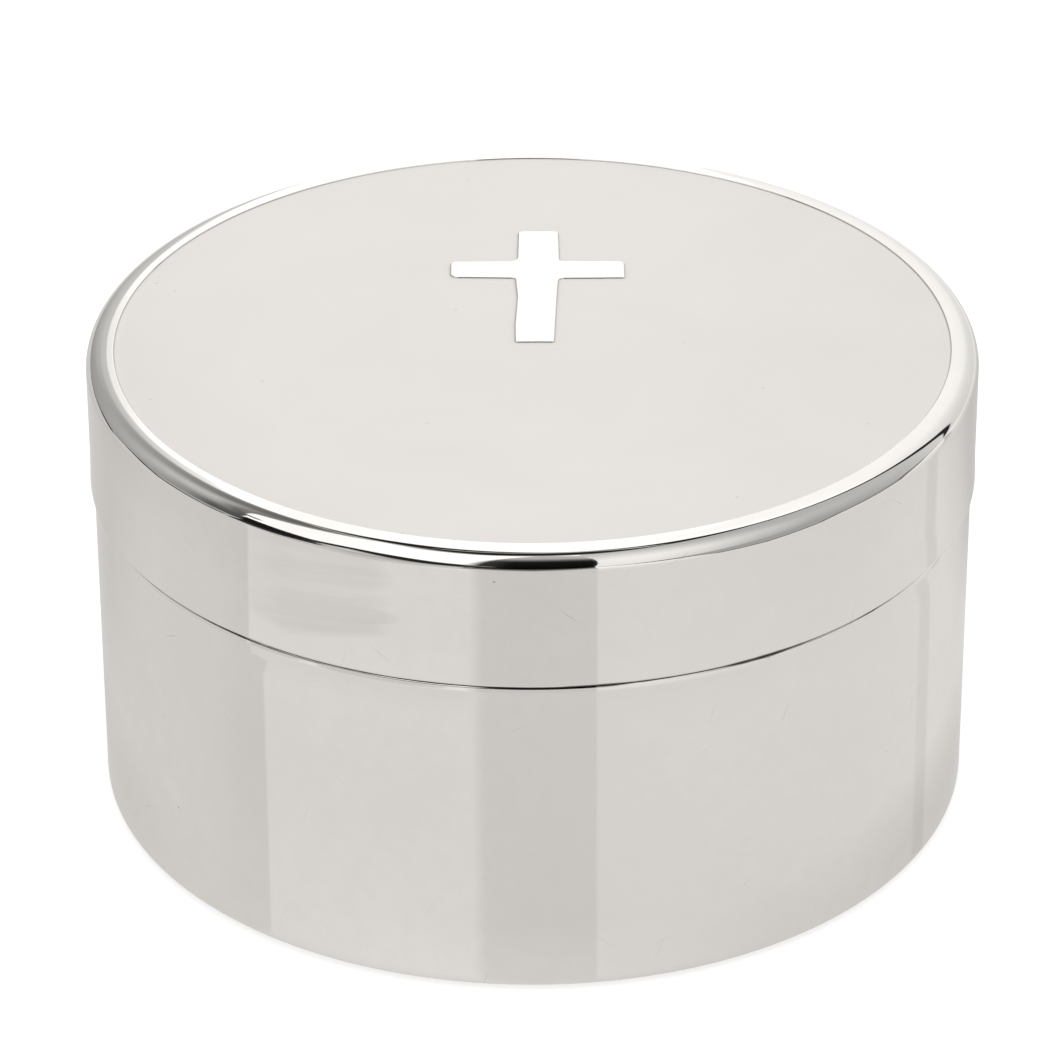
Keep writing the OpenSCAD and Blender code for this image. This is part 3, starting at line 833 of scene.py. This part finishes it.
def spinLid():
    lid = {"wall": 0.7, "topSheet": 0.7, "recessDepth": 0.8, "smallEdge": 0.06,
           "insideEdge": 0.3, "bendStep": 2.5, "segments": 320}
    # The trimmed lower edge: mm above it, mm inside the widest place, and the radius of the bend there.
    edge = [(0.0, 0.17, 0.1), (0.2, 0.0, 0.24), (0.9, 0.02, 3), (1.8, 0.042, 12), (2.7, 0.06, 12)]
    # The bead and the flat rim, which falls off a little towards it: mm inside the widest place, mm
    # below the top, and the radius of the bend there.
    crown = [(0.06, 0.0916, 1.3), (1.4, 0.0096, 5), (1.65, 0.0, 5)]
    outer, enamelReach = reachOf("lid_shell"), reachOf("enamel")
    bottom, top = heights("lid_shell")
    recess = top - lid["recessDepth"]
    ceiling, inner, small = recess - lid["topSheet"], outer - lid["wall"], lid["smallEdge"]
    corners = [(0, ceiling, 0), (inner, ceiling, lid["insideEdge"]), (inner, bottom, small)]
    corners += [(outer - inside, bottom + up, bend) for up, inside, bend in edge]
    corners += [(outer - inside, top - below, bend) for inside, below, bend in crown]
    corners += [(enamelReach, top, small), (enamelReach, recess, small), (0, recess, 0)]
    section = roundedSection(corners, False, lid["bendStep"])
    piece = spin("silverLid", section, False, silver, lid["segments"])
    handOver(piece, "lid", "silver_plate", "lid_shell")


crossShape = {
    # corner x, corner y and its radius in mm, anticlockwise from the foot; sawn and filed by hand, so
    # the foot leans a little to the left, the left arm is thinner and no two corners are alike
    "corners": [
        (-1.32, -0.76, 0.2), (1.72, -0.76, 0.15), (1.90, 5.0, 6.0), (2.10, 10.34, 0.5),
        (7.42, 10.38, 0.15), (7.42, 13.34, 0.55), (2.20, 13.38, 0.35), (2.14, 18.84, 0.42),
        (-1.10, 18.84, 0.42), (-1.16, 13.40, 0.7), (-6.54, 13.34, 0.5), (-6.54, 10.56, 0.65),
        (-1.34, 10.40, 0.3), (-1.16, 7.0, 3.0), (-1.36, 2.2, 3.0),
    ],
    "arcStep": 9.0,
    "spacing": 0.14,  # mm between points of the outline
    "closest": 0.02,
    "edge": 0.045,  # how far the filed edge is rounded
    "edgeMiddle": 0.3,  # share of it, for the middle of the rounding
    "topBorder": 0.03,
    "stagger": 0.012,  # how far the outline wanders
    "staggerTurns": 0.9,  # per mm
    "staggerSeed": 3.0,
}
enamelShape = {
    "rings": (0.03, 0.07, 0.12, 0.2, 0.32, 0.5, 0.8),  # mm from the metal
    "creep": 0.05,  # how far the poured enamel climbs up the metal
    "creepReach": 0.1,
    "shadeLineReach": 0.075,  # of the grey hairline of painted shade
    "shadeLinePower": 0.7,
    "rimPoints": 360,
    "ringClear": 0.93,  # a ring's points stay this share of its distance from every side of the cross
    "gridStep": 2.0,  # of the points between the rings
    "gridRow": 0.87,
    "gridClear": 0.3,
    "level": 0.5,  # faces that point up or down by more than this are smooth
}


def crossOutline():
    points = []
    rounded = roundedSection(crossShape["corners"], True, crossShape["arcStep"])
    for now, after in zip(rounded, rounded[1:] + rounded[:1]):
        steps = max(1, round((after - now).length / crossShape["spacing"]))
        points += [now.lerp(after, i / steps) for i in range(steps)]
    wander = crossShape["stagger"]
    moved = []
    for p in points:
        place = Vector((p.x, p.y, crossShape["staggerSeed"]))
        drift = noise.noise_vector(place * crossShape["staggerTurns"])
        moved.append(p + Vector((drift.x, drift.y)) * wander)
    kept = [moved[0]]
    for p in moved[1:]:
        if (p - kept[-1]).length > crossShape["closest"]:
            kept.append(p)
    return kept


def outwardNormals(loop):
    count = len(loop)
    normals = []
    for i in range(count):
        along = loop[(i + 1) % count] - loop[i - 1]
        normals.append(Vector((along.y, -along.x)).normalized())
    return normals


def makeCross():
    low, high = heights("cross")
    outline = crossOutline()
    normals = outwardNormals(outline)
    edge, middle = crossShape["edge"], crossShape["edgeMiddle"]
    levels = [(0.0, low), (0.0, high - edge), (-edge * middle, high - edge * middle), (-edge, high),
              (-edge - crossShape["topBorder"], high)]
    count = len(outline)
    vertices = [((p.x + n.x * inset) * mm, (p.y + n.y * inset) * mm, z * mm)
                for inset, z in levels for p, n in zip(outline, normals)]
    faces = [(k * count + i, k * count + (i + 1) % count, (k + 1) * count + (i + 1) % count,
              (k + 1) * count + i) for k in range(len(levels) - 1) for i in range(count)]
    for level in (0, len(levels) - 1):
        loop = [Vector(vertices[level * count + i][:2]) / mm for i in range(count)]
        edges = [(i, (i + 1) % count) for i in range(count)]
        filled = delaunay_2d_cdt(loop, edges, [], 1, 1e-5)
        order = [source[0] for source in filled[3]]
        faces += [tuple(level * count + order[i] for i in face) for face in filled[2]]
    piece = newObject("silverCross", meshFrom("silverCross", vertices, faces, silver))
    tidyShell(piece.data)
    handOver(piece, "lid", "silver_plate", "cross")


def distancesTo(loop, points):
    ends = np.array([tuple(p) for p in loop])
    along = np.roll(ends, -1, axis=0) - ends
    apart = np.array([tuple(p) for p in points])[:, None] - ends
    share = np.clip((apart * along).sum(2) / (along**2).sum(1), 0, 1)
    return np.sqrt(((apart - along * share[..., None]) ** 2).sum(2).min(1))


def insideLoop(loop, points):
    a = np.array([tuple(p) for p in loop])
    b = np.roll(a, -1, axis=0)
    p = np.array([tuple(q) for q in points])[:, None]
    straddles = (a[:, 1] > p[..., 1]) != (b[:, 1] > p[..., 1])
    rise = np.where(b[:, 1] == a[:, 1], 1.0, b[:, 1] - a[:, 1])
    crossing = a[:, 0] + (b[:, 0] - a[:, 0]) * (p[..., 1] - a[:, 1]) / rise
    return (straddles & (p[..., 0] < crossing)).sum(1) % 2 == 1


def makeEnamel():
    radius, turns = reachOf("enamel"), enamelShape["rimPoints"]
    bottom, level = heights("enamel")
    outline = crossOutline()
    rim = [Vector((radius * cos(2 * pi * i / turns), radius * sin(2 * pi * i / turns)))
           for i in range(turns)]
    points = rim + outline
    edges = [(i, (i + 1) % turns) for i in range(turns)]
    edges += [(turns + i, turns + (i + 1) % len(outline)) for i in range(len(outline))]
    normals = outwardNormals(outline)
    for ring in enamelShape["rings"]:
        points += [p * (radius - ring) / radius for p in rim]
        beside = [p + n * ring for p, n in zip(outline, normals)]
        clear = distancesTo(outline, beside) > ring * enamelShape["ringClear"]
        points += [q for q, free in zip(beside, clear) if free]
    step, last = enamelShape["gridStep"], enamelShape["rings"][-1] + enamelShape["gridClear"]
    reach = int(radius / step) + 1
    grid = [Vector((i * step + (j % 2) * step / 2, j * step * enamelShape["gridRow"]))
            for i in range(-reach, reach + 1) for j in range(-reach, reach + 1)]
    grid = [q for q in grid if q.length < radius - last]
    clear = (distancesTo(outline, grid) > last) & ~insideLoop(outline, grid)
    points += [q for q, free in zip(grid, clear) if free]
    flat = delaunay_2d_cdt(points, edges, [], 0, 1e-6)
    top = list(flat[0])
    middles = [sum((top[i] for i in face), Vector((0, 0))) / len(face) for face in flat[2]]
    faces = [tuple(face) for face, hidden in zip(flat[2], insideLoop(outline, middles)) if not hidden]
    toMetal = [min(radius - p.length, d) for p, d in zip(top, distancesTo(outline, top))]
    creep, creepReach = enamelShape["creep"], enamelShape["creepReach"]
    vertices = [(p.x * mm, p.y * mm, (level + creep * exp(-d / creepReach)) * mm)
                for p, d in zip(top, toMetal)]
    count = len(vertices)
    vertices += [(p.x * mm, p.y * mm, bottom * mm) for p in top]
    faces += [tuple(count + i for i in reversed(face)) for face in faces]
    sides = {(a, b): True for face in faces[: len(faces) // 2] for a, b in zip(face, face[1:] + face[:1])}
    faces += [(b, a, count + a, count + b) for a, b in sides if (b, a) not in sides]
    mesh = meshFrom("pouredEnamel", vertices, faces, enamelWhite)
    shade = mesh.attributes.new("metalEdgeShade", "FLOAT", "POINT")
    line = enamelShape["shadeLineReach"]
    lines = [max(0.0, 1 - d / line) ** enamelShape["shadeLinePower"] for d in toMetal]
    shade.data.foreach_set("value", lines + lines)
    for polygon in mesh.polygons:
        polygon.use_smooth = abs(polygon.normal.z) > enamelShape["level"]
    piece = newObject("pouredEnamel", mesh)
    handOver(piece, "lid", "enamel", "enamel")


board = {"edge": 0.08, "segments": 160, "wall": 0.5, "wallEdge": 0.06, "wallSegments": 192}


def spinBoards():
    for name, node, body in (("floorBoard", "floor_card", "base"), ("lidBoard", "lid_card", "lid")):
        low, high = heights(node)
        reach = reachOf(node)
        corners = [(0, low, 0), (reach, low, board["edge"]), (reach, high, board["edge"]), (0, high, 0)]
        piece = spin(name, roundedSection(corners, False), False, greyBoard, board["segments"])
        handOver(piece, body, "card", node)
    low, high = heights("wall_card")
    outer, edge = reachOf("wall_card"), board["wallEdge"]
    inner = outer - board["wall"]
    corners = [(inner, low, edge), (outer, low, edge), (outer, high, edge), (inner, high, edge)]
    piece = spin("wallBoard", roundedSection(corners, True), True, greyBoard, board["wallSegments"])
    handOver(piece, "base", "card", "wall_card")


pads = {
    "floorRise": 1.5,  # from the pad's edge to its middle
    "lidRise": 0.8,
    "shoulder": 0.7,
    "shoulderStep": 10,  # degrees
    "heel": 0.05,  # cut off the lower edge
    "crownRows": 22,
    "crownPower": 3,  # flat in the middle, steep at the shoulder
    "segments": 128,
    "skin": 0.5,  # velvet with its backing
    "startInset": 0.3,  # the pad starts smaller by this and is then blown up
    "puff": 0.35,  # how far a point may move
    "voxel": 1.15,
    "enlarged": 10,  # simulated ten times as large, where the cloth settings are at home
    "pressure": 4.0,
    "frames": 20,
    "pinnedShare": 0.3,  # of the height, turned under and glued
    "cutAbove": 0.02,  # the underside is open, as velvet glued to a board is
    "cutWithin": 0.00001,
    "weld": 0.05,
    "puckerDepth": 0.09,  # where the velvet is drawn over the board's edge
    "puckerReach": 4.0,
    "puckerCount": 9,
    "puckerMiddle": 0.35,
    "puckerFade": 2,  # full from half the height
    "waddingGap": 0.35,
    "waddingInset": 0.1,
    "waddingShoulder": 0.4,
    "waddingSegments": 160,
    "lumps": 0.12,
    "lumpSize": 5.0,
}


def crownSection(reach, low, edge, middle, shoulder):
    heel, rows = pads["heel"], pads["crownRows"]
    points = [Vector((0, low)), Vector((reach - heel, low)), Vector((reach, low + heel))]
    for turn in range(0, 90, pads["shoulderStep"]):
        t = radians(turn)
        points.append(Vector((reach - shoulder + shoulder * cos(t), edge - shoulder + shoulder * sin(t))))
    inner, start = points[-1]
    for k in range(1, rows):
        r = inner * (1 - k / rows)
        points.append(Vector((r, start + (middle - start) * (1 - (r / inner) ** pads["crownPower"]))))
    points.append(Vector((0, middle)))
    return points


def blownUp(host, low, high):
    size = pads["enlarged"]
    host.data.transform(Matrix.Scale(size, 4))
    remesh = host.modifiers.new("remesh", "REMESH")
    remesh.mode = "VOXEL"
    remesh.voxel_size = pads["voxel"] * size * mm
    plain = evaluatedMesh(host)
    host.modifiers.clear()
    host.data = plain
    start = [v.co.copy() for v in plain.vertices]
    glued = host.vertex_groups.new(name="glued")
    level = (low + (high - low) * pads["pinnedShare"]) * size * mm
    glued.add([v.index for v in plain.vertices if v.co.z < level], 1.0, "REPLACE")
    cloth = host.modifiers.new("cloth", "CLOTH")
    cloth.settings.use_pressure = True
    cloth.settings.uniform_pressure_force = pads["pressure"]
    cloth.settings.vertex_group_mass = "glued"
    cloth.settings.effector_weights.gravity = 0
    cloth.point_cache.frame_end = pads["frames"]
    for step in range(1, pads["frames"] + 1):
        bpy.context.scene.frame_set(step)
    blown = evaluatedMesh(host)
    host.modifiers.clear()
    bpy.context.scene.frame_set(1)
    host.data = blown
    for vertex, before in zip(blown.vertices, start):
        move = vertex.co - before
        if move.length > pads["puff"] * size * mm:
            vertex.co = before + move.normalized() * pads["puff"] * size * mm
    host.data.transform(Matrix.Scale(1 / size, 4))


def coverPad(name, node, body, rise, seed):
    # velvet drawn over wadding and turned under a board; the lid's is made upright and turned over
    low, high = heights(node)
    if body == "lid":
        low, high = -high, -low
    reach, inset = reachOf(node), pads["startInset"]
    section = crownSection(reach - inset, low - 2 * pads["shoulder"], high - rise - inset, high - inset,
                           pads["shoulder"])
    host = spin(name + "Start", section, False, velvet, pads["segments"])
    blownUp(host, low, high)
    work = bmesh.new()
    work.from_mesh(host.data)
    bmesh.ops.bisect_plane(
        work, geom=work.verts[:] + work.edges[:] + work.faces[:], dist=pads["cutWithin"] * mm,
        plane_co=(0, 0, (low + pads["cutAbove"]) * mm), plane_no=(0, 0, 1), clear_inner=True)
    bmesh.ops.remove_doubles(work, verts=work.verts, dist=pads["weld"] * mm)
    for vertex in work.verts:
        out = Vector((vertex.co.x, vertex.co.y, 0))
        toEdge = reach * mm - out.length
        pull = exp(-((toEdge / (pads["puckerReach"] * mm)) ** 2)) * pads["puckerDepth"] * mm
        height = (vertex.co.z / mm - low) / (high - low)
        around = out.normalized() * pads["puckerCount"]
        ripple = noise.noise(Vector((around.x, around.y, seed))) - pads["puckerMiddle"]
        vertex.co += vertex.normal * pull * ripple * min(1.0, height * pads["puckerFade"])
    if body == "lid":
        for vertex in work.verts:
            vertex.co.z = -vertex.co.z
        bmesh.ops.reverse_faces(work, faces=work.faces)
    for face in work.faces:
        face.smooth = True
    work.to_mesh(host.data)
    work.free()
    skin = host.modifiers.new("skin", "SOLIDIFY")
    skin.thickness = pads["skin"] * mm
    skin.offset = -1
    softer = host.modifiers.new("softer", "SUBSURF")
    softer.levels = softer.render_levels = 1
    finished = evaluatedMesh(host)
    bpy.data.objects.remove(host)
    floor, top = (heights(node)[0] * mm, heights(node)[1] * mm)
    for vertex in finished.vertices:
        flat = Vector(vertex.co[:2])
        if flat.length > reach * mm:
            flat = flat.normalized() * reach * mm
        vertex.co = (flat.x, flat.y, min(top, max(floor, vertex.co.z)))
    finished.materials.clear()
    finished.materials.append(velvet)
    piece = newObject(name, finished)
    finished.name = name
    handOver(piece, body, "velvet", node)


def stuffPad(name, node, body, rise, seed):
    low, high = heights(node)
    if body == "lid":
        low, high = -high, -low
    top = high - pads["waddingGap"]
    points = crownSection(reachOf(node) - pads["waddingInset"], low, top - rise, top,
                          pads["waddingShoulder"])
    if body == "lid":
        points = [Vector((p.x, -p.y)) for p in points]
    piece = spin(name, points, False, wadding, pads["waddingSegments"], pads["lumps"], pads["lumpSize"],
                 seed)
    handOver(piece, body, "wadding", node)


wallLining = {"thickness": 1.3, "edge": 0.06, "fold": 0.64, "rows": 24, "face": 0.1, "segments": 480,
              "wander": 0.08, "wanderSize": 7.0, "seed": 12.0, "turnedOver": 1,
              "seamWidth": 0.35, "seamReach": 4, "seamDepth": 0.3, "seamClear": 0.2}


def lineWall():
    low, high = heights("wall_velvet")
    outer, cardTop = reachOf("wall_velvet"), heights("wall_card")[1]
    inner = outer - wallLining["thickness"]
    cardInner = reachOf("wall_card") - board["wall"]
    edge, fold = wallLining["edge"], wallLining["fold"]
    corners = [(inner, low, edge), (cardInner, low, edge), (cardInner, cardTop, edge),
               (outer, cardTop, edge), (outer, high, fold), (inner, high, fold)]
    points = roundedSection(corners, True)
    face = [i for i, p in enumerate(points) if p.x < inner + wallLining["face"]]
    tallest = max(face, key=lambda i: (points[i] - points[i - 1]).length)
    a, b = points[tallest - 1], points[tallest]
    count = wallLining["rows"]
    points[tallest:tallest] = [a.lerp(b, k / count) for k in range(1, count)]
    piece = spin("wallVelvet", points, True, velvet, wallLining["segments"], wallLining["wander"],
                 wallLining["wanderSize"], wallLining["seed"])
    for vertex in piece.data.vertices:  # the strip's ends meet at the back and are drawn into a seam
        across = abs(vertex.co.x) / mm
        if vertex.co.y > 0 and across < wallLining["seamReach"] * wallLining["seamWidth"]:
            depth = wallLining["seamDepth"] * exp(-((across / wallLining["seamWidth"]) ** 2))
            out = Vector((vertex.co.x, vertex.co.y, 0))
            if out.length < (cardInner - wallLining["seamClear"]) * mm:
                vertex.co += out.normalized() * depth * mm
    handOver(piece, "base", "velvet", "wall_velvet")


def gluedFelt():
    felt = {"edge": 0.2, "segments": 240, "wander": 0.06, "wanderSize": 4.0, "seed": 21.0}
    low, high = heights("base_felt")
    reach = reachOf("base_felt")
    corners = [(0, low, 0), (reach, low, felt["edge"]), (reach, high, felt["edge"]), (0, high, 0)]
    points = roundedSection(corners, False)
    piece = spin("feltFoot", points, False, feltGrey, felt["segments"], felt["wander"],
                 felt["wanderSize"], felt["seed"])
    for vertex in piece.data.vertices:
        vertex.co.z = min(high * mm, max(low * mm, vertex.co.z))
    handOver(piece, "base", "felt", "base_felt")


setUpCamera()
buildStudio()
silver = polishedSilverPlate()
enamelWhite = whitePouredEnamel()
velvet = ivoryVelvet()
feltGrey = greyWoolFelt()
greyBoard = greyBinderBoard()
wadding = whiteCottonWadding()
latheTree = makeLatheTree()
spinCup()
spinNeck()
spinLid()
print("silver: cup, neck and lid are spun")
makeCross()
makeEnamel()
print("enamel: cross set and recess filled")
spinBoards()
stuffPad("floorWadding", "floor_wadding", "base", pads["floorRise"], 4.0)
stuffPad("lidWadding", "lid_wadding", "lid", pads["lidRise"], 8.0)
coverPad("floorPad", "floor_velvet", "base", pads["floorRise"], 3.0)
coverPad("lidPad", "lid_velvet", "lid", pads["lidRise"], 6.0)
lineWall()
gluedFelt()
print("linings: boards, wadding, velvet and felt are in")
